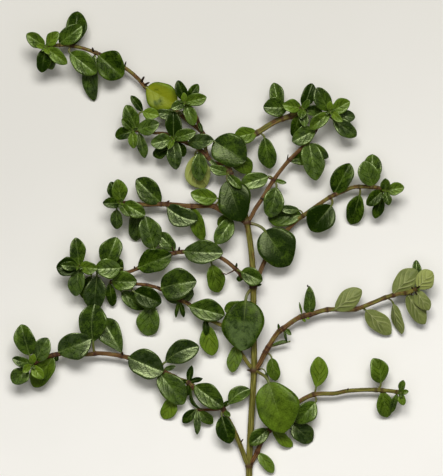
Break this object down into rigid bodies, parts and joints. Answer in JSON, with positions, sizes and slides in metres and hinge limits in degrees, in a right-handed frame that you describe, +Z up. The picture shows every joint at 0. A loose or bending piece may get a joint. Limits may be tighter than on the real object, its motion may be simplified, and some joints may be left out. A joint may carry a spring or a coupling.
{
  "type": "thyme sprig",
  "caption": "Cut sprig of broad-leaved thyme lying flat: a woody main stem with opposite pairs of leafy side shoots, for cooking, garnish or a kitchen scene.",
  "frame": {"origin": "on the surface that the sprig lies on, under the middle of the sprig", "axes": "+Y from the cut end of the main stem to the growing tips, +Z up from the surface, +X to the right as seen from above"},
  "size_m": [0.1056, 0.1288, 0.0087],
  "materials": {
    "stem_bark": "satin",
    "leaf_green": "satin",
    "leaf_underside": "satin"
  },
  "bodies": {
    "root": {"main_stem": "stem_bark", "shoot_1_left": "leaf_green", "twig_1_left": "leaf_green", "shoot_1_right": "leaf_green", "shoot_2_left": "leaf_green", "shoot_2_right": "leaf_underside", "shoot_3_left": "leaf_green", "shoot_3_right": "leaf_green", "shoot_4_left": "leaf_green", "shoot_4_right": "leaf_green", "shoot_5_left": "leaf_green", "twig_5_left_far": "leaf_green", "twig_5_left_up": "leaf_green", "twig_5_left_top": "leaf_green"}
  },
  "joints": []
}
